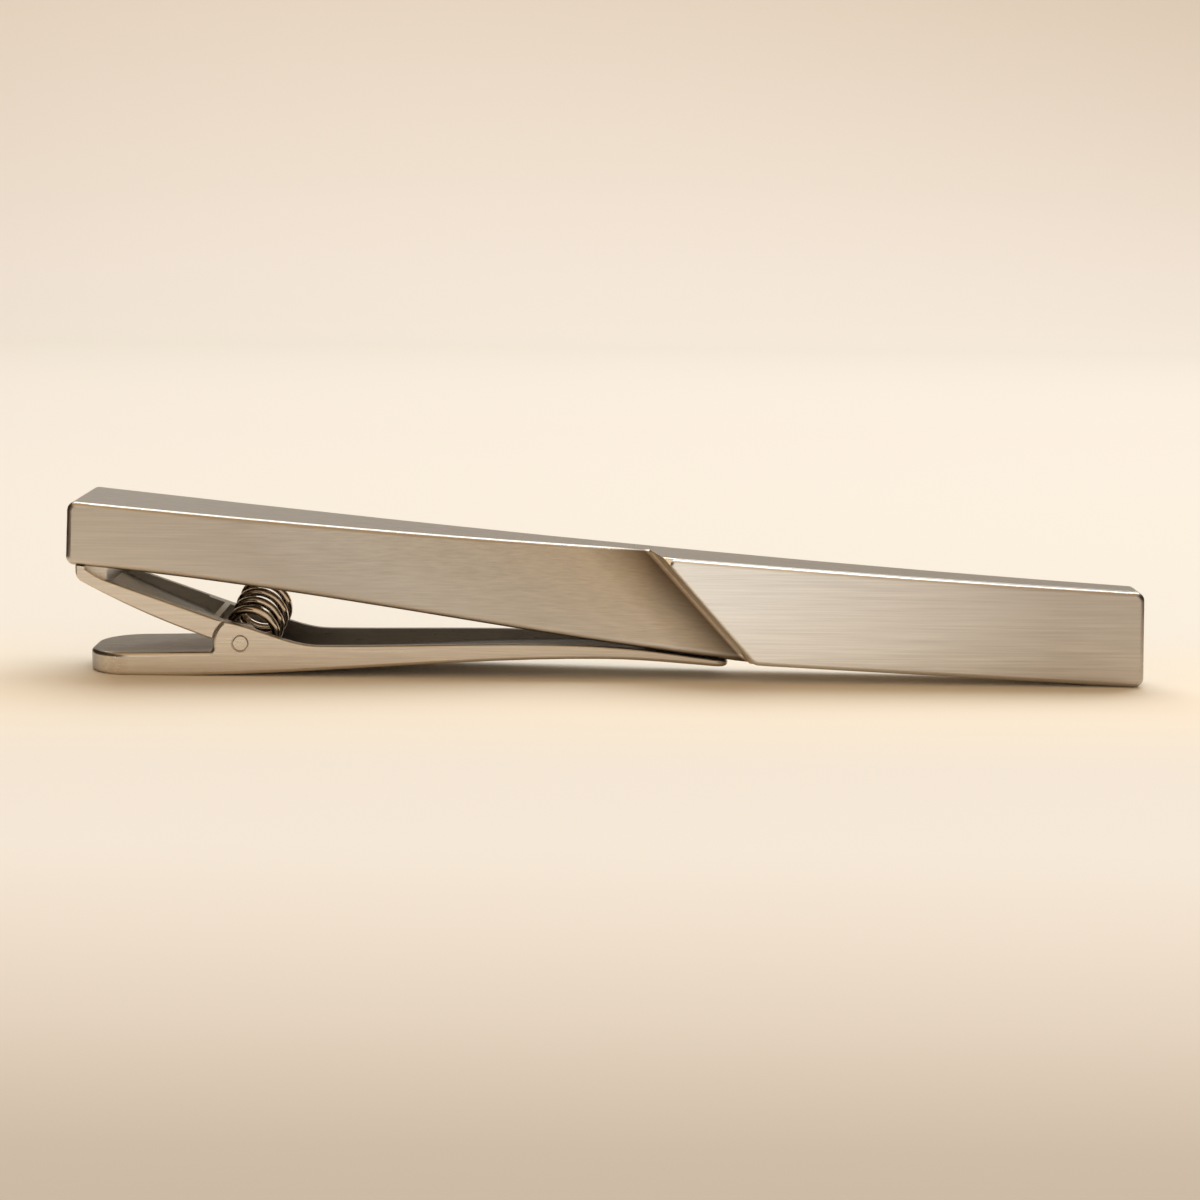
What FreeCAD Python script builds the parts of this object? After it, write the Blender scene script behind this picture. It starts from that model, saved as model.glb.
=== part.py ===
import FreeCAD
import Part
import math
import os

# Tie clip: a twisted steel bar with a face plate, and a sprung lever hinged on a bracket under it.
# Millimetres. X runs along the bar with the hinge end at minus X, minus Y is the front, Z is up
# from the table. The plane Y = 0 is the middle of the lever until the last step centres the part.

Vector = FreeCAD.Vector

# Bar: side outline
bar_length = 55.0
bar_left_under = 5.70          # underside above the table at the hinge end
bar_left_top = 8.95            # top above the table at the hinge end
bar_foot_under = 0.93          # underside at the foot of the diagonal edge
bar_right_height = 4.90
bar_end_lean = 0.15            # how far both end faces lean in at the top
underside_left_slope = 0.082
underside_foot_slope = 0.119
top_left_slope = 0.092
top_right_slope = 0.048
foot_blend = 0.9               # length of the bend in the underside, each side of the foot

# Bar: plan and rounding
bar_left_depth = 6.9
bar_front_reach = 3.0           # middle of the lever to the front of the bar
bar_right_depth = 2.0
bar_edge_round = 0.28
bar_seam_round = 0.10
bar_end_corner = 0.45

# Bar: twisted front facet, left of the diagonal edge
facet_foot_setback = 0.10
facet_head_setback = 2.45
wall_foot_run = 0.20           # facet to the diagonal edge along X, at its foot
wall_head_run = 0.65
facet_station_shares = (-0.04, 0, 0.2, 0.4, 0.6, 0.8, 1)
facet_middle_share = 0.5

# Face plate, right of the diagonal edge
plate_foot_length = 19.9       # right end to the foot of the diagonal
plate_head_length = 24.6       # right end to the head of the diagonal
plate_thick = 0.45
plate_edge_round = 0.24
plate_foot_corner = 0.60
plate_head_corner = 0.28

# Hinge
pin_from_left = 8.86           # left end of the bar to the hinge axis
pin_height = 1.72
pin_diameter = 0.60
pin_head_diameter = 0.80
pin_head_height = 0.20
pin_head_dome = 0.07
pin_seat_gap = 0.06            # spot face to the pin head inside it
pin_seat_depth = 0.16
pin_press_gap = 0.005
pin_running_gap = 0.04
pin_tail_diameter = 0.84       # upset end of each pin, inside its ear
pin_tail_height = 0.10
pin_tail_gap = 0.03

# Lever
lever_width = 5.8
lever_wall = 0.42
lever_floor = 0.34
lever_under_round = 0.18
lever_top_round = 0.20
lever_rim_round = 0.10
tail_reach = 7.96              # hinge axis to the end of the tail
tail_flat_reach = 4.76         # hinge axis to where the flat underside ends
tail_thick = 1.12
tail_notch_height = 1.26       # top of the tail at the notch
tail_corner = 2.2
notch_round = 0.28
knuckle_radius = 1.42
knuckle_gap = 0.05
knuckle_top = 1.10             # corner of the lever's rim above the hinge axis
knuckle_slope = 0.12
pocket_lip = 0.05
jaw_waist_reach = 4.0          # hinge axis to the lowest part of the rim
jaw_waist_height = 1.62
jaw_tip_setback = 1.3          # foot of the diagonal to the tip
jaw_meet_setback = 3.1         # tip to where the rim starts to follow the bar
jaw_bow_setback = 6.3          # tip to the highest part of the underside
jaw_bow_drop = 0.84            # bar to the underside of the jaw, there
jaw_crown_setback = 9.9        # tip to the highest part of the rim
jaw_crown_drop = 0.66          # bar to the rim, there
jaw_tip_thick = 0.30
jaw_tip_slope = 0.07
jaw_tip_corner = 0.70
jaw_gap = 0.06                 # rim of the closed jaw to the bar
jaw_side_margin = 0.10
jaw_solid_end = 4.3
jaw_taper_reach = 1.6          # hinge axis to where the back wall starts to close in
jaw_back_slope = 0.13          # how steeply the back wall closes in at the tip

# Hinge bracket
bracket_wall = 0.45
bracket_floor = 0.40
bracket_edge_round = 0.10
ear_thick = 0.36
ear_gap = 0.04
ear_radius = 0.95
ear_coil_gap = 0.225           # between the ears, arm to the spring's coil if it were centred
joggle_reach = 2.3             # hinge axis to where the walls step in towards the ears
heel_inset = 0.52              # left end of the bar to the heel
heel_length = 1.5
heel_seat = 0.45               # length of each wall that meets the bar
heel_drop = 0.66               # bar to the lower corner of the heel
heel_block_drop = 0.40         # bar to the underside of the heel's block, at its outer end
heel_rim_drop = 0.12           # bar to the rim of each wall, where it leaves the bar
heel_round = 0.55
heel_rim_slope = 0.70          # how steeply that rim leaves the bar
arm_rim_reach = 6.80           # hinge axis to where the rim runs on straight
arm_rim_height = 4.88
arm_mid_reach = 4.85
arm_mid_under = 3.26
arm_end_under = 0.22           # lower edge above the hinge axis, at the knuckle
arm_end_rim = 1.13

# Torsion spring
wire = 0.44
coil_diameter = 2.92
coil_pitch = 0.855
coil_full_turns = 3
coil_front_angle = -75.0
coil_back_angle = 190.0
coil_tilt = 23.0               # rise of the coil's axis towards the back, in degrees
coil_yaw = 9.0                 # turn of the coil's axis towards plus X, in degrees
coil_shift = 0.43              # centre of the coil's front end beyond the hinge axis, along X
coil_rise = 0.27               # the same above the hinge axis
leg_floor_gap = 0.04           # end of the leg to the lever's floor
hook_radius = 0.46
hook_gap = 0.03
hook_lug_wall = 0.35           # metal round the hook's hole

overrun = 1.0                  # how far a cutting shape runs past what it cuts
slope_step = 0.05              # half of the stretch that a slope is read over

# Places worked out from the sizes
left_x = -bar_length / 2
right_x = bar_length / 2
foot_x = right_x - plate_foot_length
head_x = right_x - plate_head_length
bend_x = foot_x - foot_blend
front_y = -bar_front_reach
pin_x = left_x + pin_from_left
taper_x = pin_x + jaw_taper_reach
tip_x = foot_x - jaw_tip_setback
meet_x = tip_x - jaw_meet_setback
bow_x = tip_x - jaw_bow_setback
crown_x = tip_x - jaw_crown_setback
tail_x = pin_x - tail_reach
half_width = lever_width / 2
wall_in = half_width - lever_wall
ear_out = wall_in - ear_gap
ear_in = ear_out - ear_thick


def hermite(start, end, start_slope, end_slope, x):
    """Height at x of the cubic between two points (x, z) with the given slopes."""
    span = end[0] - start[0]
    u = (x - start[0]) / span
    rest = 1 - u
    return (
        start[1] * rest**2 * (1 + 2 * u)
        + end[1] * u**2 * (1 + 2 * rest)
        + span * u * rest * (start_slope * rest - end_slope * u)
    )


def underside(x):
    """Height of the underside of the bar, left of the foot of the diagonal."""
    bend_under = bar_foot_under + foot_blend * underside_foot_slope
    if x > bend_x:
        return bend_under - (x - bend_x) * underside_foot_slope
    return hermite(
        (left_x, bar_left_under),
        (bend_x, bend_under),
        -underside_left_slope,
        -underside_foot_slope,
        x,
    )


def underside_slope(x):
    """Rise of the underside of the bar along X."""
    return (underside(x + slope_step) - underside(x - slope_step)) / (2 * slope_step)


def top(x):
    """Height of the top of the bar."""
    return hermite(
        (left_x + bar_end_lean, bar_left_top),
        (right_x - bar_end_lean, bar_right_height),
        -top_left_slope,
        -top_right_slope,
        x,
    )


def back_y(x):
    """Y of the back face of the bar, which tapers to the right."""
    share = (x - left_x) / bar_length
    return front_y + bar_left_depth + share * (bar_right_depth - bar_left_depth)


def side(x, z, y=0):
    return Vector(x, y, z)


def line(a, b):
    return Part.LineSegment(a, b).toShape()


def plan(x, y):
    return Vector(x, y, -overrun)


def cubic(start, end, start_slope, end_slope, place=side):
    """Edge of the cubic curve that hermite() gives, in the side view or in plan."""
    third = (end[0] - start[0]) / 3
    curve = Part.BezierCurve()
    curve.setPoles([
        place(*start),
        place(start[0] + third, start[1] + third * start_slope),
        place(end[0] - third, end[1] - third * end_slope),
        place(*end),
    ])
    return curve.toShape()


def arc(a, through, b):
    return Part.Arc(a, through, b).toShape()


def spline(points):
    curve = Part.BSplineCurve()
    curve.interpolate(points)
    return curve.toShape()


def slab(edges, y_from, y_to):
    """Solid between two Y planes over the side outline that the edges enclose."""
    face = Part.Face(Part.Wire(edges))
    face.translate(Vector(0, y_from, 0))
    return face.extrude(Vector(0, y_to - y_from, 0))


def ring(points):
    """Closed outline of straight edges."""
    return Part.makePolygon(points + points[:1]).Edges


def rod(radius, y_from, y_to, x, z):
    return Part.makeCylinder(radius, y_to - y_from, Vector(x, y_from, z), Vector(0, 1, 0))


def edge_at(shape, point):
    """The edge that passes closest to a point."""
    spot = Part.Vertex(point)
    return min(shape.Edges, key=lambda edge: edge.distToShape(spot)[0])


def rounded(shape, radius, points):
    """Rounds the edges that pass through the points, and what runs on smoothly from them."""
    return shape.makeFillet(radius, [edge_at(shape, point) for point in points]).Solids[0]


def bar_outline():
    """Side outline of the whole bar."""
    under_left = (left_x, bar_left_under)
    bend = (bend_x, underside(bend_x))
    top_left = (left_x + bar_end_lean, bar_left_top)
    top_right = (right_x - bar_end_lean, bar_right_height)
    blend_share = foot_blend / plate_foot_length
    blend_end = side(foot_x + foot_blend, bar_foot_under * (1 - blend_share))
    blend = Part.BezierCurve()
    blend.setPoles([side(*bend), side(foot_x, bar_foot_under), blend_end])
    return [
        cubic(under_left, bend, -underside_left_slope, -underside_foot_slope),
        blend.toShape(),
        line(blend_end, side(right_x, 0)),
        line(side(right_x, 0), side(*top_right)),
        cubic(top_left, top_right, -top_left_slope, -top_right_slope),
        line(side(*top_left), side(*under_left)),
    ]


def bar_blank(y_from, y_to):
    """Bar outline between two Y planes, with its end corners rounded."""
    blank = slab(Part.__sortEdges__(bar_outline()), y_from, y_to)
    middle_y = (y_from + y_to) / 2
    return rounded(blank, bar_end_corner, [
        side(left_x, bar_left_under, middle_y),
        side(left_x + bar_end_lean, bar_left_top, middle_y),
        side(right_x, 0, middle_y),
        side(right_x - bar_end_lean, bar_right_height, middle_y),
    ])


def facet_ruling(share):
    """Lower and upper end of a straight line across the facet, from the left end to its wall."""
    low = Vector(left_x + share * (foot_x - wall_foot_run - left_x), front_y + facet_foot_setback, 0)
    low.z = underside(low.x)
    high_x = left_x + bar_end_lean
    high = Vector(high_x + share * (head_x - wall_head_run - high_x), 0, 0)
    high.y = low.y + share * abs(share) * (facet_head_setback - facet_foot_setback)
    high.z = top(high.x)
    return low, high


def cutting_loft(rulings):
    """Everything in front of a surface through straight lines, each given by its two ends."""
    forward = Vector(0, -bar_left_depth, 0)
    sections = []
    for low, high in rulings:
        beyond = (high - low).normalize() * overrun
        low = low - beyond
        high = high + beyond
        sections.append(Part.makePolygon([low, high, high + forward, low + forward, low]))
    return Part.makeLoft(sections, True, False)


def make_bar():
    """Solid bar: tapered at the back, with the facet and its slanted wall cut into the front."""
    far = front_y + bar_left_depth + overrun
    behind = [
        Vector(left_x - overrun, back_y(left_x - overrun), -overrun),
        Vector(right_x + overrun, back_y(right_x + overrun), -overrun),
        Vector(right_x + overrun, far, -overrun),
        Vector(left_x - overrun, far, -overrun),
    ]
    taper = Part.Face(Part.Wire(ring(behind))).extrude(Vector(0, 0, bar_left_top + 2 * overrun))
    bar = bar_blank(front_y, front_y + bar_left_depth).cut(taper).Solids[0]
    bottom_x = (foot_x + right_x) / 2
    bottom_z = bar_foot_under / 2
    bar = rounded(bar, bar_edge_round, [side(bottom_x, bottom_z, back_y(bottom_x))])
    rulings = [facet_ruling(share) for share in facet_station_shares]
    diagonal = side(foot_x, bar_foot_under, front_y), side(head_x, top(head_x), front_y)
    bar = bar.cut(cutting_loft(rulings)).Solids[0]
    bar = rounded(bar, bar_edge_round, [facet_ruling(facet_middle_share)[1]])
    bar = bar.cut(cutting_loft([rulings[-1], diagonal])).Solids[0]
    return rounded(bar, bar_seam_round, [
        side(bottom_x, bottom_z, front_y),
        side((foot_x + head_x) / 2, (bar_foot_under + top(head_x)) / 2, front_y),
    ])


def make_face_plate():
    """Thin plate on the front of the bar, right of the diagonal edge, with a rounded front rim."""
    outer_y = front_y - plate_thick
    foot = side(foot_x, bar_foot_under)
    head = side(head_x, top(head_x))
    beyond = (head - foot).normalize() * bar_length
    leftward = Vector(-bar_length, 0, 0)
    cut_away = ring([
        foot - beyond,
        head + beyond,
        head + beyond + leftward,
        foot - beyond + leftward,
    ])
    cutter = slab(cut_away, outer_y - overrun, front_y + overrun)
    plate = bar_blank(outer_y, front_y).cut(cutter).Solids[0]
    middle_y = (outer_y + front_y) / 2
    middle = Vector(0, middle_y, 0)
    plate = rounded(plate, plate_foot_corner, [foot + middle])
    plate = rounded(plate, plate_head_corner, [head + middle])
    bottom_x = (foot_x + right_x) / 2
    return rounded(plate, plate_edge_round, [side(bottom_x, bar_foot_under / 2, outer_y)])


def belly(x):
    """Height of the underside of the lever between its flat tail and the bow of the jaw."""
    bow = (bow_x, underside(bow_x) - jaw_bow_drop)
    return hermite((pin_x - tail_flat_reach, 0), bow, 0, 0, x)


def lever_under():
    """Edges of the underside of the jaw, from the flat tail to the tip."""
    flat_end = (pin_x - tail_flat_reach, 0)
    bow = (bow_x, underside(bow_x) - jaw_bow_drop)
    tip = (tip_x, underside(tip_x) - jaw_gap - jaw_tip_thick)
    return [cubic(flat_end, bow, 0, 0), cubic(bow, tip, 0, -jaw_tip_slope)], tip


def on_knuckle(radius, height):
    """Side point left of the hinge axis, on a circle round it, at a height above the axis."""
    return side(pin_x - math.sqrt(radius**2 - height**2), pin_height + height)


def lever_outline():
    """Side outline of the lever: tail, notch, knuckle and jaw."""
    under, tip = lever_under()
    meet_slope = underside_slope(meet_x)
    tip_slope = underside_slope(tip_x)
    tip_top = (tip_x, underside(tip_x) - jaw_gap)
    meet = (meet_x, underside(meet_x) - jaw_gap)
    crown = (crown_x, underside(crown_x) - jaw_crown_drop)
    waist = (pin_x + jaw_waist_reach, jaw_waist_height)
    corner = on_knuckle(knuckle_radius, knuckle_top)
    notch = on_knuckle(knuckle_radius, tail_notch_height - pin_height)
    tail_top = side(tail_x, tail_thick)
    return under + [
        line(side(*tip), side(*tip_top)),
        cubic(meet, tip_top, meet_slope, tip_slope),
        cubic(crown, meet, 0, meet_slope),
        cubic(waist, crown, 0, 0),
        cubic((corner.x, corner.z), waist, -knuckle_slope, 0),
        arc(corner, side(pin_x - knuckle_radius, pin_height), notch),
        line(notch, tail_top),
        line(tail_top, side(tail_x, 0)),
        line(side(tail_x, 0), side(pin_x - tail_flat_reach, 0)),
    ]


def lever_back(x):
    """Y of the back face of the lever, which closes in with the bar from the knuckle to the tip."""
    tip_back = back_y(tip_x) - jaw_side_margin
    return hermite((taper_x, half_width), (tip_x, tip_back), 0, -jaw_back_slope, x)


def lever_plan(inset, from_x, to_x):
    """Upright block over the plan of the lever, drawn in from its sides by an inset."""
    side_y = half_width - inset
    end_y = lever_back(to_x) - inset
    outline = [
        line(plan(from_x, side_y), plan(from_x, -side_y)),
        line(plan(from_x, -side_y), plan(to_x, -side_y)),
        line(plan(to_x, -side_y), plan(to_x, end_y)),
        cubic((taper_x, side_y), (to_x, end_y), 0, -jaw_back_slope, plan),
        line(plan(taper_x, side_y), plan(from_x, side_y)),
    ]
    face = Part.Face(Part.Wire(Part.__sortEdges__(outline)))
    return face.extrude(Vector(0, 0, bar_left_top))


def make_lever():
    """Lever: solid tail, knuckle walls and a channel jaw that closes up to a thin tip."""
    body = slab(Part.__sortEdges__(lever_outline()), -half_width, half_width)
    notch = on_knuckle(knuckle_radius, tail_notch_height - pin_height)
    body = rounded(body, notch_round, [notch])
    block = lever_plan(0, tail_x, tip_x)
    tail_corners = [Vector(tail_x, -half_width, 0), Vector(tail_x, half_width, 0)]
    tip_corners = [Vector(tip_x, -half_width, 0), Vector(tip_x, lever_back(tip_x), 0)]
    block = rounded(block, tail_corner, tail_corners)
    block = rounded(block, jaw_tip_corner, tip_corners)
    body = body.common(block).Solids[0]
    body = rounded(body, lever_top_round, [side(tail_x, tail_thick)])
    body = rounded(body, lever_under_round, [side(tail_x, 0)])
    crown_z = underside(crown_x) - jaw_crown_drop
    body = rounded(body, lever_rim_round, [
        side(crown_x, crown_z, -half_width),
        side(crown_x, crown_z, lever_back(crown_x)),
    ])
    under = lever_under()[0]
    floor = [edge.translated(Vector(0, 0, lever_floor)) for edge in under]
    start = side(pin_x - tail_flat_reach, lever_floor)
    end = floor[-1].Vertexes[-1].Point
    high = Vector(0, 0, bar_left_top)
    above = floor + [line(start, start + high), line(start + high, end + high), line(end + high, end)]
    pocket = slab(Part.__sortEdges__(above), -half_width, half_width)
    pocket_x = pin_x - knuckle_radius + pocket_lip
    pocket = pocket.common(lever_plan(lever_wall, pocket_x, tip_x - jaw_solid_end))
    body = body.cut(pocket)
    room_x = pin_x - knuckle_radius - overrun
    room_corner = Vector(room_x, -wall_in, tail_notch_height)
    room = Part.makeBox(pin_x - room_x, 2 * wall_in, bar_left_top, room_corner)
    body = body.cut(room).Solids[0]
    hole = rod(pin_diameter / 2 + pin_press_gap, -lever_width, lever_width, pin_x, pin_height)
    body = body.cut(hole)
    for y_from in (-half_width - overrun, half_width - pin_seat_depth):
        y_to = y_from + overrun + pin_seat_depth
        seat = rod(pin_head_diameter / 2 + pin_seat_gap, y_from, y_to, pin_x, pin_height)
        body = body.cut(seat)
    return body.Solids[0]


def arm_lower():
    """Edge of the lower side of the bracket's arm, from the heel to the knuckle."""
    heel_x = left_x + heel_inset
    corner = side(heel_x, underside(heel_x) - heel_drop)
    middle = side(pin_x - arm_mid_reach, arm_mid_under)
    return spline([corner, middle, on_knuckle(knuckle_radius + knuckle_gap, arm_end_under)])


def bracket_outline():
    """Side outline of the bracket: heel against the bar, arm, and an ear up to the hinge axis."""
    heel_x = left_x + heel_inset
    seat_x = heel_x + heel_seat
    lower = arm_lower()
    heel_top = side(heel_x, underside(heel_x))
    seat_end = side(seat_x, underside(seat_x))
    rim_start = side(seat_x, underside(seat_x) - heel_rim_drop)
    rim_end = on_knuckle(knuckle_radius + knuckle_gap, arm_end_rim)
    bend = (pin_x - arm_rim_reach, arm_rim_height)
    straight_slope = (rim_end.z - bend[1]) / (rim_end.x - bend[0])
    rim = cubic((rim_start.x, rim_start.z), bend, -heel_rim_slope, straight_slope)
    ear_top = side(pin_x, pin_height + ear_radius)
    axis = side(pin_x, pin_height)
    ear_left = side(pin_x - ear_radius, pin_height)
    lower_start = lower.valueAt(lower.FirstParameter)
    lower_end = lower.valueAt(lower.LastParameter)
    return [
        lower,
        line(lower_end, ear_left),
        line(ear_left, axis),
        line(axis, ear_top),
        line(ear_top, rim_end),
        line(rim_end, side(*bend)),
        rim,
        line(rim_start, seat_end),
        line(seat_end, heel_top),
        line(heel_top, lower_start),
    ]


def arm_hollow(inner_y, from_x, to_x):
    """Space above the floor of the arm, between two walls and two X planes."""
    floor = arm_lower().translated(Vector(0, 0, bracket_floor))
    start = floor.valueAt(floor.FirstParameter)
    end = floor.valueAt(floor.LastParameter)
    high = Vector(0, 0, bar_left_top)
    above = [floor, line(end, end + high), line(end + high, start + high), line(start + high, start)]
    hollow = slab(above, -inner_y, inner_y)
    corner = Vector(from_x, -inner_y, -overrun)
    window = Part.makeBox(to_x - from_x, 2 * inner_y, 2 * bar_left_top, corner)
    return hollow.common(window)


def make_bracket(hook_point):
    """Channel arm whose heel is soldered under the bar, with two ears for the hinge pins."""
    heel_x = left_x + heel_inset
    inner_x = heel_x + heel_length
    inner_y = half_width - bracket_wall
    body = slab(Part.__sortEdges__(bracket_outline()), -half_width, half_width)
    body = rounded(body, heel_round, [side(heel_x, underside(heel_x) - heel_drop)])
    arm_x = pin_x - arm_mid_reach
    rim_x = pin_x - arm_rim_reach
    body = rounded(body, bracket_edge_round, [
        side(arm_x, arm_mid_under, -half_width),
        side(arm_x, arm_mid_under, half_width),
        side(rim_x, arm_rim_height, -half_width),
        side(rim_x, arm_rim_height, half_width),
    ])
    joggle_x = pin_x - joggle_reach
    body = body.cut(arm_hollow(inner_y, inner_x, joggle_x))
    body = body.cut(arm_hollow(ear_in, joggle_x - overrun, pin_x))
    heel = ring([
        side(heel_x, underside(heel_x)),
        side(inner_x, underside(inner_x)),
        side(inner_x, underside(inner_x) - heel_drop),
        side(heel_x, underside(heel_x) - heel_block_drop),
    ])
    body = body.fuse(slab(heel, -inner_y, inner_y))
    knuckle = knuckle_radius + knuckle_gap
    body = body.cut(rod(knuckle, ear_out, half_width + overrun, pin_x, pin_height))
    body = body.cut(rod(knuckle, -half_width - overrun, -ear_out, pin_x, pin_height))
    body = body.cut(rod(coil_diameter / 2 + ear_coil_gap, -ear_in, ear_in, pin_x, pin_height))
    for y_from in (-ear_out, ear_in):
        body = body.fuse(rod(ear_radius, y_from, y_from + ear_thick, pin_x, pin_height))
    hole_radius = wire / 2 + hook_gap
    lug_radius = hole_radius + hook_lug_wall
    axis = side(pin_x, pin_height)
    hook = side(hook_point.x, hook_point.z)
    out = (hook - axis).cross(Vector(0, 1, 0)).normalize()
    neck = ring([
        axis + out * ear_radius,
        axis - out * ear_radius,
        hook - out * lug_radius,
        hook + out * lug_radius,
    ])
    body = body.fuse(slab(neck, ear_in, ear_out))
    body = body.fuse(rod(lug_radius, ear_in, ear_out, hook.x, hook.z))
    bore_radius = pin_diameter / 2 + pin_running_gap
    body = body.cut(rod(bore_radius, -lever_width, lever_width, pin_x, pin_height))
    hook_hole = rod(hole_radius, 0, half_width, hook.x, hook.z)
    return body.cut(hook_hole).removeSplitter().Solids[0]


def make_pin(facing):
    """Short hinge pin of one side: a domed head in the lever, and an upset end inside the ear."""
    seat_y = half_width - pin_seat_depth
    crown_y = seat_y + pin_head_height
    tail_y = ear_in - pin_tail_gap
    tail_end_y = tail_y - pin_tail_height
    pin = rod(pin_diameter / 2, tail_end_y, seat_y, pin_x, pin_height)
    pin = pin.fuse(rod(pin_tail_diameter / 2, tail_end_y, tail_y, pin_x, pin_height))
    head = rod(pin_head_diameter / 2, seat_y, crown_y, pin_x, pin_height)
    pin = pin.fuse(rounded(head, pin_head_dome, [side(pin_x + pin_head_diameter / 2, pin_height, crown_y)]))
    pin = pin.removeSplitter().Solids[0]
    if facing < 0:
        pin = pin.mirror(Vector(0, 0, 0), Vector(0, 1, 0))
    return pin


def coil_point(share):
    """Place and direction along the wire of the coil, from its front end to its back end."""
    tilt = math.radians(coil_tilt)
    yaw = math.radians(coil_yaw)
    axis = Vector(math.sin(yaw) * math.cos(tilt), math.cos(yaw) * math.cos(tilt), math.sin(tilt))
    across = (Vector(1, 0, 0) - axis * axis.x).normalize()
    upward = across.cross(axis)
    turn = math.radians(360 * coil_full_turns + coil_back_angle - coil_front_angle)
    angle = math.radians(coil_front_angle) + share * turn
    spoke = (across * math.cos(angle) + upward * math.sin(angle)) * ((coil_diameter - wire) / 2)
    rise = axis * (coil_pitch * turn / math.radians(360))
    front = Vector(pin_x + coil_shift, 0, pin_height + coil_rise)
    return front + rise * share + spoke, (rise + spoke.cross(axis) * turn).normalize()


def tangent_arc(start, corner, end):
    """Arc that touches both lines from the corner, which is equally far from both ends."""
    chord_middle = (start + end) / 2
    rise = corner - chord_middle
    half_chord = (end - start).Length / 2
    lean = math.atan2(rise.Length, half_chord)
    radius = half_chord / math.sin(lean)
    bulge = chord_middle + rise.normalize() * (radius * (1 - math.cos(lean)))
    return arc(start, bulge, end), radius


def biarc(start, start_way, end, end_way):
    """Two arcs that run on smoothly into each other between two points with given directions."""
    span = end - start
    ways = start_way + end_way
    bend = 2 * (1 - start_way.dot(end_way))
    both = span.dot(ways)
    reach = (math.sqrt(both**2 + bend * span.dot(span)) - both) / bend
    first = start + start_way * reach
    second = end - end_way * reach
    joint = (first + second) / 2
    return [tangent_arc(start, first, joint), tangent_arc(joint, second, end)]


def make_spring():
    """Torsion spring: a leg down to the lever's floor, a leaning coil, a hook in the back ear."""
    back, back_way = coil_point(1)
    inward = Vector(0, 1, 0)
    hook_reach = hook_radius * math.tan(back_way.getAngle(inward) / 2)
    seat = Vector(0, ear_out - wire - hook_reach * (1 + back_way.y) - back.y, 0)
    back = back + seat
    corner = back + back_way * hook_reach
    hook_start = corner + inward * hook_reach
    stations = 4 * (coil_full_turns + 1)
    ends = [coil_point(station / stations) for station in range(stations + 1)]
    ends = [(place + seat, way) for place, way in ends]
    front, front_way = ends[0]
    floor_z = belly(front.x) + lever_floor
    tip = front - front_way * ((front.z - floor_z - leg_floor_gap - wire / 2) / front_way.z)
    arcs = []
    for (a, a_way), (b, b_way) in zip(ends, ends[1:]):
        arcs += biarc(a, a_way, b, b_way)
    arcs.append(tangent_arc(back, corner, hook_start))
    edges = [line(tip, front)]
    edges += [edge for edge, radius in arcs]
    edges.append(line(hook_start, hook_start + inward * wire))
    path = Part.Wire(edges)
    profile = Part.Wire(Part.Circle(tip, front_way, wire / 2).toShape())
    spring = path.makePipeShell([profile], True, False)
    print("spring: tightest bend", round(min(radius for edge, radius in arcs), 3), "of wire", wire)
    print("spring: least gap to itself", round(least_gap(path), 3))
    return spring.Solids[0], hook_start


def least_gap(path):
    """Least clear distance between two stretches of the wire that lie half a turn or more apart."""
    count = 60 * (coil_full_turns + 1)
    points = path.discretize(Number=count)
    apart = round(math.pi * coil_diameter / 2 / path.Length * count)
    gaps = []
    for i, a in enumerate(points):
        gaps += [(a - b).Length for b in points[i + apart:]]
    return min(gaps) - wire


spring, hook_point = make_spring()
parts = {
    "bar": make_bar(),
    "face_plate": make_face_plate(),
    "hinge_bracket": make_bracket(hook_point),
    "lever": make_lever(),
    "hinge_pin_front": make_pin(-1),
    "hinge_pin_back": make_pin(1),
    "torsion_spring": spring,
}

os.makedirs("parts", exist_ok=True)
centre = Vector(0, (plate_thick - bar_left_depth) / 2 + bar_front_reach, 0)
for name, shape in parts.items():
    print(name, shape.isValid(), len(shape.Solids), round(shape.Volume, 2), "mm3")
    shape.translated(centre).exportStep("parts/" + name + ".step")
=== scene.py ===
# %% [markdown]
# # A brushed tie clip
# The clip is a twisted steel bar with a flat plate on its front, and a small sprung lever hinged on a
# bracket under it. Its hard pieces come from the CAD model with their true sizes. What is left to do
# here is the spring's wire, the satin and brushed finishes, the table and the soft light on them.

# %% Load the frame
import math
import bpy
from mathutils import Matrix, Vector


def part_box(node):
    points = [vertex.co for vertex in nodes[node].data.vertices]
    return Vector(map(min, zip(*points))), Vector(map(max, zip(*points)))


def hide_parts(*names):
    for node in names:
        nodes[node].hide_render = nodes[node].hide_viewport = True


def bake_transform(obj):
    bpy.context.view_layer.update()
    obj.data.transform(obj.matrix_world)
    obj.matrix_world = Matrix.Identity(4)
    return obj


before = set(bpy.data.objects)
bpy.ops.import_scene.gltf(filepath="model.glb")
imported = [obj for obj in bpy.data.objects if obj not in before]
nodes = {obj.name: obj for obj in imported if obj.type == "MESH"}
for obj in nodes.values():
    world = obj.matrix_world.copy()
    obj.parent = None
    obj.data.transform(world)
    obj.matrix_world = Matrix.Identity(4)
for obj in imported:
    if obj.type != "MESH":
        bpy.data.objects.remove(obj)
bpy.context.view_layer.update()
MM = 0.001
print("pieces from CAD:", sorted(nodes))

# %% [markdown]
# ## Camera
# A short telephoto lens at table height, a little above the clip, keeps its long edges almost
# parallel. It could be set by eye, but here its distance, height and tilt are worked out from the
# corners of the bar, so that every edge falls where the photograph has it.

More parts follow.
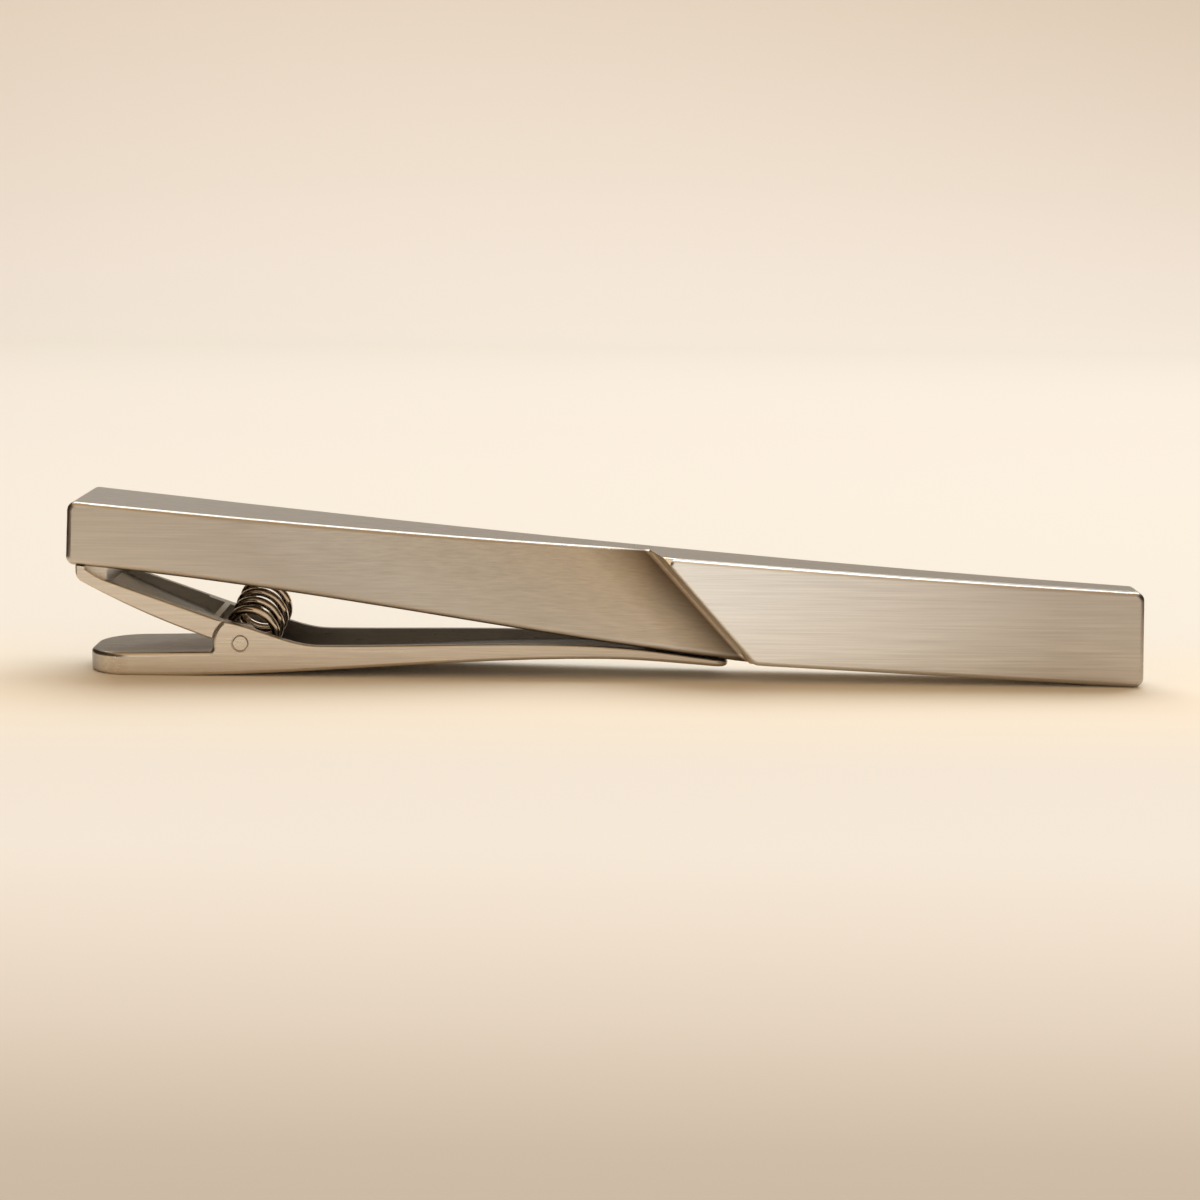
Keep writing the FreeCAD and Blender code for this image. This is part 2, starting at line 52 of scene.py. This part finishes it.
# %% Camera
camera_place_mm = (-0.28, -134.05, 25.71)
camera_pitch_deg = 9.34
camera_roll_deg = 0.615
camera_data = bpy.data.cameras.new("camera")
camera_data.sensor_width = 36.0
camera_data.lens = 78.17
camera_data.clip_start = 1 * MM
camera_data.clip_end = 10.0
camera = bpy.data.objects.new("camera", camera_data)
bpy.context.scene.collection.objects.link(camera)
camera.location = Vector(camera_place_mm) * MM
camera.rotation_mode = "ZYX"
camera.rotation_euler = (math.radians(90 - camera_pitch_deg), 0, math.radians(camera_roll_deg))
bpy.context.scene.camera = camera
print("camera at", [round(v, 4) for v in camera.location])

# %% [markdown]
# ## Helpers for finishes
# Every finish below is a tree of shader nodes. Colours are written as sRGB hex values, as a paint
# program shows them, and a shader wants them linear. Each step could spell all that out, but one
# helper that turns a colour, one that adds a node and one that starts a material keep it short.

# %% Helpers for finishes


def linear(code):
    """Linear colour of an sRGB hex value."""
    levels = [int(code[i:i + 2], 16) / 255 for i in (1, 3, 5)]
    return [v / 12.92 if v <= 0.04045 else ((v + 0.055) / 1.055) ** 2.4 for v in levels] + [1.0]


def add(tree, kind, inputs=None, stops=(), **settings):
    """Adds a node, sets what it is told and links each socket that it is given. The stops of a ramp
    are pairs of a place from 0 to 1 and a colour, in rising order."""
    node = tree.nodes.new(kind)
    for name, value in settings.items():
        setattr(node, name, value)
    for name, value in (inputs or {}).items():
        if isinstance(value, bpy.types.NodeSocket):
            tree.links.new(value, node.inputs[name])
        else:
            node.inputs[name].default_value = value
    for count, (place, code) in enumerate(stops):
        ramp = node.color_ramp.elements
        stop = ramp[count] if count < 2 else ramp.new(place)  # a new ramp has two stops already
        stop.position = place
        stop.color = linear(code)
    return node


def new_material(name):
    """An empty material, and its tree."""
    material = bpy.data.materials.new(name)
    material.use_nodes = True
    material.node_tree.nodes.clear()
    return material, material.node_tree


# %% [markdown]
# ## Brushed and satin steel
# The bar and the plate are steel with a champagne tint, brushed along their length by an abrasive
# belt: long shallow scratches that widen a highlight across them. An image could carry the scratches,
# but a noise that is stretched along the bar has no edge and no seam. It varies the colour and the
# roughness a little and tilts the surface by a hair. The small parts are tumbled to a satin, so they
# have short fine scratches only.

# %% Scratches
band_scale = (0.35, 0.16, 0.16)  # a band is about 3 times as long as a scratch and 6 times as wide
band_share = 0.15


def scratch_noise(tree, place, lean_deg, length_mm, width_mm):
    """Noise stretched along X: the scratches alone, and mixed with a little of the bands."""
    turned = add(tree, "ShaderNodeMapping", {
        "Vector": place,
        "Rotation": (0, math.radians(lean_deg), 0),
        "Scale": (1 / (length_mm * MM), 1 / (width_mm * MM), 1 / (width_mm * MM)),
    })
    scratches = add(tree, "ShaderNodeTexNoise", {
        "Vector": turned.outputs["Vector"], "Scale": 1.0, "Detail": 3.0, "Roughness": 0.6,
    })
    broad = add(tree, "ShaderNodeMapping", {
        "Vector": turned.outputs["Vector"], "Scale": band_scale,
    })
    bands = add(tree, "ShaderNodeTexNoise", {
        "Vector": broad.outputs["Vector"], "Scale": 1.0, "Detail": 2.0, "Roughness": 0.5,
    })
    both = add(tree, "ShaderNodeMix", {
        "Factor": band_share, "A": scratches.outputs["Fac"], "B": bands.outputs["Fac"],
    }, data_type="FLOAT")
    return scratches.outputs["Fac"], both.outputs["Result"]


# %% [markdown]
# ## Painted light and shade on the steel
# The fronts are painted lighter and darker from end to end, and the tops and the channels are painted
# darker. More lamps and cards could light it so, but each of them would change every other piece too.
# So the colour carries it: a ramp of painted light along the front, and painted shade on top and
# inside.

# %% Painted light and shade on the steel
# Painted light goes on faces that look to the front, painted shade on tops and inside the channels.
front_full, front_none = -0.15, -0.03  # Y of a surface's direction where the front's ramp fades out
top_none, top_full = 0.88, 0.99  # Z of it where a surface starts to count as a top, and where it is one
painted_top_share = 0.42
painted_inside_share = 0.45
inside_fade_mm = 0.9
no_inside_mm = 9.0  # behind the whole clip


def painted_light_by_place(tree, coordinates, tones, slant, inside_mm):
    """Painted light: tone at places along X + slant * Z, in mm, on the front, and the first elsewhere.
    Then painted shade: the share of it that is left on top, and inside, behind inside_mm along Y."""
    place = coordinates.outputs["Object"]
    facing = add(tree, "ShaderNodeSeparateXYZ", {"Vector": coordinates.outputs["Normal"]})
    start, end = tones[0][0], tones[-1][0]
    slanted = add(tree, "ShaderNodeVectorMath", {
        0: place, 1: (1, 0, slant),
    }, operation="DOT_PRODUCT")
    along = add(tree, "ShaderNodeMapRange", {
        "Value": slanted.outputs["Value"], "From Min": start * MM, "From Max": end * MM,
    })
    painted_ramp = add(tree, "ShaderNodeValToRGB", {
        "Fac": along.outputs["Result"],
    }, stops=[((x - start) / (end - start), code) for x, code in tones])
    front = add(tree, "ShaderNodeMapRange", {
        "Value": facing.outputs["Y"], "From Min": front_full, "From Max": front_none,
        "To Min": 1.0, "To Max": 0.0,
    })
    # A Mix node has its colours at sockets 6 and 7, and gives its colour at socket 2.
    shown = add(tree, "ShaderNodeMix", {
        0: front.outputs["Result"], 6: linear(tones[0][1]), 7: painted_ramp.outputs["Color"],
    }, data_type="RGBA")
    top = add(tree, "ShaderNodeMapRange", {
        "Value": facing.outputs["Z"], "From Min": top_none, "From Max": top_full,
        "To Min": 1.0, "To Max": painted_top_share,
    })
    depth = add(tree, "ShaderNodeMapRange", {
        "Value": add(tree, "ShaderNodeSeparateXYZ", {"Vector": place}).outputs["Y"],
        "From Min": inside_mm * MM, "From Max": (inside_mm + inside_fade_mm) * MM,
        "To Min": 1.0, "To Max": painted_inside_share,
    })
    painted_shade = add(tree, "ShaderNodeMath", {
        0: top.outputs["Result"], 1: depth.outputs["Result"],
    }, operation="MULTIPLY")
    return shown.outputs[2], painted_shade.outputs[0]


# %% Brushed steel
streak_noise = (0.32, 0.68)  # the noise hardly leaves these limits
darkest_streak = 0.85
rough_noise = (0.3, 0.7)
roughness_spread = 0.06


def brushed_steel(
    name, tones, roughness, lean_deg, length_mm, width_mm, depth_mm,
    slant=0.0, inside_mm=no_inside_mm,
):
    """Steel brushed along X, with its painted light and shade and with scratches of a given size."""
    material, tree = new_material(name)
    coordinates = add(tree, "ShaderNodeTexCoord")
    scratches, both = scratch_noise(
        tree, coordinates.outputs["Object"], lean_deg, length_mm, width_mm
    )
    tone, painted_shade = painted_light_by_place(tree, coordinates, tones, slant, inside_mm)
    streaks = add(tree, "ShaderNodeMapRange", {
        "Value": both, "From Min": streak_noise[0], "From Max": streak_noise[1],
        "To Min": darkest_streak, "To Max": 1.0,
    })
    share = add(tree, "ShaderNodeMath", {
        0: painted_shade, 1: streaks.outputs["Result"],
    }, operation="MULTIPLY")
    colour = add(tree, "ShaderNodeVectorMath", {
        "Vector": tone, "Scale": share.outputs[0],
    }, operation="SCALE")
    rough = add(tree, "ShaderNodeMapRange", {
        "Value": both, "From Min": rough_noise[0], "From Max": rough_noise[1],
        "To Min": roughness + roughness_spread, "To Max": roughness - roughness_spread,
    })
    bump = add(tree, "ShaderNodeBump", {
        "Height": scratches, "Strength": 0.5, "Distance": depth_mm * MM,
    })
    shader = add(tree, "ShaderNodeBsdfPrincipled", {
        "Base Color": colour.outputs["Vector"], "Metallic": 1.0,
        "Roughness": rough.outputs["Result"], "Normal": bump.outputs["Normal"],
    })
    add(tree, "ShaderNodeOutputMaterial", {"Surface": shader.outputs["BSDF"]})
    return material


def dress(node, material):
    """Gives a CAD node its finish."""
    nodes[node].data.materials.clear()
    nodes[node].data.materials.append(material)


# %% Finishes of the steel pieces
# Places in mm and the tones there: painted light and shade along the front. The bar's tones turn dark
# towards the slanted wall, a painted shade, and light at its foot, a painted highlight.
bar_painted_tones = (
    (-21.0, "#D5CCC0"), (-12.0, "#C2B9AE"), (0.0, "#C3BBB1"), (5.0, "#CBC3BA"), (6.4, "#B1A89D"),
    (7.7, "#83786B"), (8.22, "#685B4C"), (8.34, "#FFF0DC"), (30.0, "#C9BEB0"),
)
wall_slant = 0.95  # the wall runs this far to the left for each mm that it rises
# The plate's tones are painted light: brightest at its head, greyer to the right.
plate_painted_tones = (
    (3.0, "#FBFDFF"), (10.0, "#EDECEB"), (18.0, "#D5D0CA"), (23.0, "#C3BBB2"), (27.5, "#C4BBB1"),
)
# The satin tones are painted light: lighter at the left end and darker to the right.
satin_painted_tones = ((-27.0, "#E6DCCE"), (-15.0, "#D8CEC1"), (-8.0, "#D2C8BB"), (6.0, "#C0B6A9"))
# Behind this the faces inside the channels get painted shade.
front_wall_mm = -2.9  # the channels of the lever and the bracket begin behind this

# Belt-brushed steel gives a wide soft sheen with fine lines along it. Its real scratches are finer
# than a pixel of the render, so they are drawn as wide as they need to be to show.
dress("bar", brushed_steel(
    "brushed_champagne_steel", bar_painted_tones, roughness=0.34, lean_deg=4.5,
    length_mm=5.0, width_mm=0.085, depth_mm=0.004, slant=wall_slant,
))
dress("face_plate", brushed_steel(
    "brushed_bright_steel", plate_painted_tones, roughness=0.36, lean_deg=2.5,
    length_mm=5.0, width_mm=0.085, depth_mm=0.004,
))
# Tumbled steel has a satin face: a soft sheen without a clear reflection, and hardly any lines.
dress("hinge_bracket", brushed_steel(
    "satin_bracket_steel", satin_painted_tones, roughness=0.33, lean_deg=22.0,
    length_mm=2.5, width_mm=0.09, depth_mm=0.002, inside_mm=front_wall_mm,
))
dress("lever", brushed_steel(
    "satin_lever_steel", satin_painted_tones, roughness=0.31, lean_deg=0.0,
    length_mm=3.0, width_mm=0.09, depth_mm=0.002, inside_mm=front_wall_mm,
))
# The pins take the same painted light and shade as the satin steel.
pin_steel = brushed_steel(
    "satin_pin_steel", satin_painted_tones, roughness=0.28, lean_deg=0.0,
    length_mm=0.2, width_mm=0.06, depth_mm=0.001,
)
dress("hinge_pin_front", pin_steel)
dress("hinge_pin_back", pin_steel)
print("dressed:", [name for name in sorted(nodes) if nodes[name].data.materials])

# %% [markdown]
# ## Torsion spring
# The spring is one length of polished steel wire: a leg that lies on the lever's floor, a coil that
# leans back, and a hook in the back ear. A curve with a bevel would do. Here a circle of the wire's
# size is wound by a Screw modifier, as a winding machine lays the wire round its mandrel, and the two
# ends are drawn out of the finished coil with extrude and spin.

# %% Coil
# The sizes are those of the spring in CAD.
wire = 0.44 * MM
wire_sides = 20
coil_radius = (2.92 * MM - wire) / 2
coil_pitch = 0.855 * MM
front_angle = math.radians(-75)
coil_turn = math.radians(3 * 360 + 190) - front_angle
turn_steps = 40
tilt = math.radians(23)
yaw = math.radians(9)
coil_axis = Vector((
    math.sin(yaw) * math.cos(tilt), math.cos(yaw) * math.cos(tilt), math.sin(tilt),
))
across = (Vector((1, 0, 0)) - coil_axis * coil_axis.x).normalized()
upward = across.cross(coil_axis)
coil_start = Vector((-18.21, -1.7836, 1.99)) * MM


def on_coil(angle):
    """Place on the middle of the wire, and its direction there, at an angle round the coil."""
    spoke = (across * math.cos(angle) + upward * math.sin(angle)) * coil_radius
    climb = coil_axis * coil_pitch / math.tau
    place = coil_start + climb * (angle - front_angle) + spoke
    return place, (climb + spoke.cross(coil_axis)).normalized()


bpy.ops.object.select_all(action="DESELECT")
local_way = Vector((
    math.sin(-front_angle), -math.cos(-front_angle), coil_pitch / math.tau / coil_radius,
))
bpy.ops.mesh.primitive_circle_add(
    vertices=wire_sides, radius=wire / 2,
    location=(coil_radius * math.cos(-front_angle), coil_radius * math.sin(-front_angle), 0),
    rotation=local_way.to_track_quat("Z", "Y").to_euler(),
)
spring = bpy.context.object
spring.name = "spring"
bpy.ops.object.transform_apply(location=True, rotation=True, scale=True)
winding = spring.modifiers.new("winding", "SCREW")
winding.axis = "Z"
winding.angle = -coil_turn
winding.screw_offset = coil_pitch * coil_turn / math.tau
winding.steps = winding.render_steps = round(turn_steps * coil_turn / math.tau)
bpy.ops.object.modifier_apply(modifier="winding")
turned = Matrix((across, -upward, coil_axis)).transposed().to_4x4()
spring.matrix_world = Matrix.Translation(coil_start) @ turned
bpy.ops.object.transform_apply(location=True, rotation=True, scale=True)
print("coil of", round(coil_turn / math.tau, 2), "turns:", len(spring.data.polygons), "faces")

# %% Leg and hook


def select_ring(piece, centre, radius):
    """Selects only the vertices within a radius of a point, in edit mode."""
    bpy.ops.object.mode_set(mode="EDIT")
    bpy.ops.mesh.select_mode(type="VERT")
    bpy.ops.mesh.select_all(action="DESELECT")
    bpy.ops.object.mode_set(mode="OBJECT")
    for vertex in piece.data.vertices:
        vertex.select = (vertex.co - centre).length < radius
    count = sum(vertex.select for vertex in piece.data.vertices)
    print("ring of", count, "at", [round(c / MM, 2) for c in centre])
    bpy.ops.object.mode_set(mode="EDIT")


leg_length = 0.53 * MM
hook_radius = 0.46 * MM
hook_steps = 8
ring_reach = wire * 0.6  # a little more than the wire's radius
crease_deg = 50
front_end, front_way = on_coil(front_angle)
back_end, back_way = on_coil(front_angle + coil_turn)
inward = Vector((0, 1, 0))
select_ring(spring, front_end, ring_reach)
bpy.ops.mesh.extrude_region_move(TRANSFORM_OT_translate={"value": -front_way * leg_length})
bpy.ops.mesh.edge_face_add()
hook_turn = back_way.angle(inward)
towards = (inward - back_way * back_way.dot(inward)).normalized()
hook_reach = hook_radius * math.tan(hook_turn / 2)
hook_start = back_end + (back_way + inward) * hook_reach
select_ring(spring, back_end, ring_reach)
bpy.ops.mesh.spin(
    steps=hook_steps, angle=hook_turn, center=back_end + towards * hook_radius,
    axis=-back_way.cross(inward).normalized(), dupli=False,
)
select_ring(spring, hook_start, ring_reach)
bpy.ops.mesh.extrude_region_move(TRANSFORM_OT_translate={"value": inward * wire})
bpy.ops.mesh.edge_face_add()
bpy.ops.mesh.select_all(action="SELECT")
bpy.ops.mesh.normals_make_consistent(inside=False)
bpy.ops.object.mode_set(mode="OBJECT")
bpy.ops.object.shade_smooth_by_angle(angle=math.radians(crease_deg))
low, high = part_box("torsion_spring")
made = [
    [round(pick(v.co[i] for v in spring.data.vertices) / MM, 2) for i in range(3)]
    for pick in (min, max)
]
print("spring", made, "solid", [[round(c / MM, 2) for c in corner] for corner in (low, high)])

# Oil-tempered wire is drawn smooth and has a thin brown skin, so it gives narrow white lines on a
# tube that mirrors the dark channel.
wire_tones = ((-20.0, "#CBBCAA"), (-16.0, "#CBBCAA"))
# The top of the wire gets the painted shade on tops; along the wire its tone stays the same.
spring.data.materials.append(brushed_steel(
    "oil_tempered_wire", wire_tones, roughness=0.12, lean_deg=0.0,
    length_mm=1.5, width_mm=0.08, depth_mm=0.001,
))
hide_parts("torsion_spring")
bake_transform(spring)

# %% [markdown]
# ## Table
# The clip stands on cream paper that sweeps up behind it, as in a photographer's cove, so that no
# edge shows in the picture. A bent sheet could be drawn as a curve. Here the far edge of a plane is
# spun up by a quarter turn, as the paper is hung. Its tone is painted by the distance: painted shade
# in front of the clip, a warm tint painted into the clip's shadow, and painted fall of light up the
# cove.

# %% Table
cove_y = 0.30
cove_radius = 0.30
cove_steps = 24
table_width = 3.0
table_depth = 0.9
bpy.ops.object.select_all(action="DESELECT")
bpy.ops.mesh.primitive_plane_add(size=1.0, location=(0, cove_y - table_depth / 2, 0))
table = bpy.context.object
table.name = "table"
table.scale = (table_width, table_depth, 1.0)
bpy.ops.object.transform_apply(location=True, scale=True)
for vertex in table.data.vertices:
    vertex.select = vertex.co.y > cove_y - 1 * MM
for edge in table.data.edges:
    edge.select = all(table.data.vertices[i].select for i in edge.vertices)
for face in table.data.polygons:
    face.select = False
bpy.ops.object.mode_set(mode="EDIT")
bpy.ops.mesh.select_mode(type="EDGE")
bpy.ops.mesh.spin(
    steps=cove_steps, angle=math.radians(90), center=(0, cove_y, cove_radius), axis=(-1, 0, 0),
    dupli=False,
)
bpy.ops.object.mode_set(mode="OBJECT")
bpy.ops.object.shade_smooth()
print("table reaches", [round(max(v.co[i] for v in table.data.vertices), 3) for i in range(3)])

# %% Paper
# Uncoated paper is matt: it has no sheen, and gives a soft pale ground for the shadow.
painted_tones_by_y = (
    (-0.12, "#F4F0EB"), (-0.070, "#C6BBAE"), (-0.057, "#DED5CB"), (-0.049, "#E6DED5"),
    (-0.038, "#EBE6DF"), (-0.022, "#E8E2DA"), (-0.008, "#F0E4D2"), (0.012, "#E8E3DB"),
    (0.124, "#DCD5CD"), (0.252, "#D2CBC2"), (0.36, "#DBD3CC"), (0.49, "#E0D6CB"),
    (0.53, "#7A6B5B"), (0.60, "#FFFFFF"),
)
ramp_near, ramp_far = -0.30, 0.60
cream, tree = new_material("cream_paper")
place = add(tree, "ShaderNodeSeparateXYZ", {
    "Vector": add(tree, "ShaderNodeTexCoord").outputs["Object"],
})
depth = add(tree, "ShaderNodeMapRange", {
    "Value": place.outputs["Y"], "From Min": ramp_near, "From Max": ramp_far,
})
tone = add(tree, "ShaderNodeValToRGB", {
    "Fac": depth.outputs["Result"],
}, stops=[((y - ramp_near) / (ramp_far - ramp_near), code) for y, code in painted_tones_by_y])
paper = add(tree, "ShaderNodeBsdfPrincipled", {
    "Base Color": tone.outputs["Color"], "Roughness": 0.6, "Specular IOR Level": 0.0,
})
add(tree, "ShaderNodeOutputMaterial", {"Surface": paper.outputs["BSDF"]})
table.data.materials.append(cream)
print("paper with", len(painted_tones_by_y), "tones")

# %% [markdown]
# ## Dark cards
# A rounded edge of metal looks round when it mirrors something dark beside something light, so
# a photographer stands dark cards beside the clip. A darker room would do that too, but it would dim
# the table as well. The cards are seen in reflections only: the camera doesn't see them, and they
# take no light from the table.

# %% Dark cards beside the clip
# Dyed card is dull and dark brown, and shows in the steel as a soft dark line.
card_size = (0.001, 0.090, 0.030)
card_y, card_z = -0.010, 0.015
flag_paper, tree = new_material("dark_card")
felt = add(tree, "ShaderNodeBsdfDiffuse", {"Color": linear("#3E3226"), "Roughness": 0.5})
add(tree, "ShaderNodeOutputMaterial", {"Surface": felt.outputs["BSDF"]})
for name, x in (("card_left", -0.045), ("card_right", 0.046)):
    bpy.ops.object.select_all(action="DESELECT")
    bpy.ops.mesh.primitive_cube_add(size=1.0, location=(x, card_y, card_z))
    card = bpy.context.object
    card.name = name
    card.scale = card_size
    bpy.ops.object.transform_apply(location=True, scale=True)
    card.data.materials.append(flag_paper)
    card.visible_camera = card.visible_diffuse = card.visible_shadow = False

# %% [markdown]
# ## Light
# One broad lamp hangs above and behind, so that the rounded upper edges catch white lines and the
# shadow falls towards the viewer. The rest of the light comes from the room, which is bright at the
# horizon, warmer overhead and darker to both sides. A picture of a studio could stand for the room,
# but a ramp by height does the same with nothing to load.

# %% Lamp
lamp_place = Vector((0.06, 0.24, 0.38))
lamp = bpy.data.lights.new("top_light", "AREA")
lamp.shape = "RECTANGLE"
lamp.size = 0.55
lamp.size_y = 0.36
lamp.energy = 2.3
lamp.color = linear("#ECF7FF")[:3]
holder = bpy.data.objects.new("top_light", lamp)
bpy.context.scene.collection.objects.link(holder)
holder.location = lamp_place
holder.rotation_euler = (-lamp_place).to_track_quat("-Z", "Y").to_euler()
print("lamp of", round(lamp.energy, 1), "W at", [round(v, 2) for v in lamp_place])

# %% Room
# Tones by height, from 0 straight down to 1 straight up.
room_tones = ((0.50, "#FBF3E8"), (0.75, "#F0DFC6"), (0.88, "#DDBD92"), (1.0, "#C4A276"))
side_start, side_end = 0.45, 0.85  # X of a direction where the room gets darker to the side
side_strength = 0.22
world = bpy.data.worlds.new("room")
bpy.context.scene.world = world
world.use_nodes = True
world.node_tree.nodes.clear()
sky = world.node_tree
way = add(sky, "ShaderNodeSeparateXYZ", {
    "Vector": add(sky, "ShaderNodeTexCoord").outputs["Generated"],
})
height = add(sky, "ShaderNodeMapRange", {
    "Value": way.outputs["Z"], "From Min": -1.0, "From Max": 1.0,
})
room = add(sky, "ShaderNodeValToRGB", {"Fac": height.outputs["Result"]}, stops=room_tones)
aside = add(sky, "ShaderNodeMath", {0: way.outputs["X"]}, operation="ABSOLUTE")
sides = add(sky, "ShaderNodeMapRange", {
    "Value": aside.outputs[0], "From Min": side_start, "From Max": side_end,
    "To Min": 1.0, "To Max": side_strength,
})
air = add(sky, "ShaderNodeBackground", {
    "Color": room.outputs["Color"], "Strength": sides.outputs["Result"],
})
add(sky, "ShaderNodeOutputWorld", {"Surface": air.outputs["Background"]})
print("room with", len(room_tones), "tones by height")

# %% Finish
bpy.context.scene.view_settings.view_transform = "Standard"
